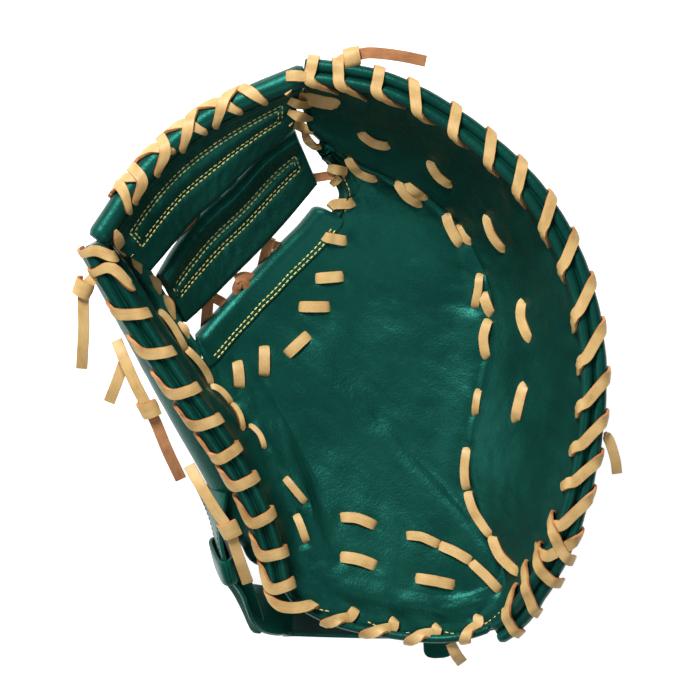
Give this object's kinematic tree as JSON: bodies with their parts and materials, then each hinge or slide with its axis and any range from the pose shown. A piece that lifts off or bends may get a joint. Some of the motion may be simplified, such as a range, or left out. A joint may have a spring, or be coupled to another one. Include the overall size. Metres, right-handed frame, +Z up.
{
  "type": "first baseman mitt",
  "caption": "Left-hand leather first baseman mitt lying on its back, deep pocket up, with a two-bar laced web, double rolled rim, whip lacing, rolled crotch and open heel with wrist band.",
  "frame": {"origin": "centre of the bounding box in plan, on the floor that the mitt lies on", "axes": "+X to the little finger side, +Y from the heel to the finger tips, +Z up out of the pocket"},
  "size_m": [0.263, 0.2972, 0.1076],
  "materials": {
    "leather": "smooth full-grain leather, low sheen",
    "back_leather": "smooth leather, low sheen",
    "lace": "rawhide lace, satin",
    "lining": "matt black lining leather"
  },
  "bodies": {
    "root": {"back_shell": "back_leather", "crotch_roll": "leather", "finger_lace": "lace", "finger_welt_inner": "leather", "finger_welt_outer": "leather", "heel_lace_1": "lace", "heel_lace_2": "lace", "heel_lace_3": "lace", "heel_lace_4": "lace", "heel_tab": "back_leather", "heel_welt": "leather", "palm_shell": "leather", "pull_tab": "back_leather", "strap_keeper": "back_leather", "thumb_lace": "lace", "thumb_welt_inner": "leather", "thumb_welt_outer": "leather", "tie_finger_side": "lace", "tie_finger_top": "lace", "tie_heel": "lace", "tie_thumb_low": "lace", "tie_thumb_middle": "lace", "tie_thumb_top": "lace", "web_lower_bar": "leather", "web_roll_lace": "lace", "web_tie_finger_1": "lace", "web_tie_finger_2": "lace", "web_tie_finger_3": "lace", "web_tie_finger_4": "lace", "web_tie_finger_5": "lace", "web_tie_thumb_1": "lace", "web_tie_thumb_2": "lace", "web_tie_thumb_3": "lace", "web_tie_thumb_4": "lace", "web_top_bar": "leather", "web_top_roll": "leather", "wrist_band": "back_leather", "wrist_lining": "lining"}
  },
  "joints": []
}
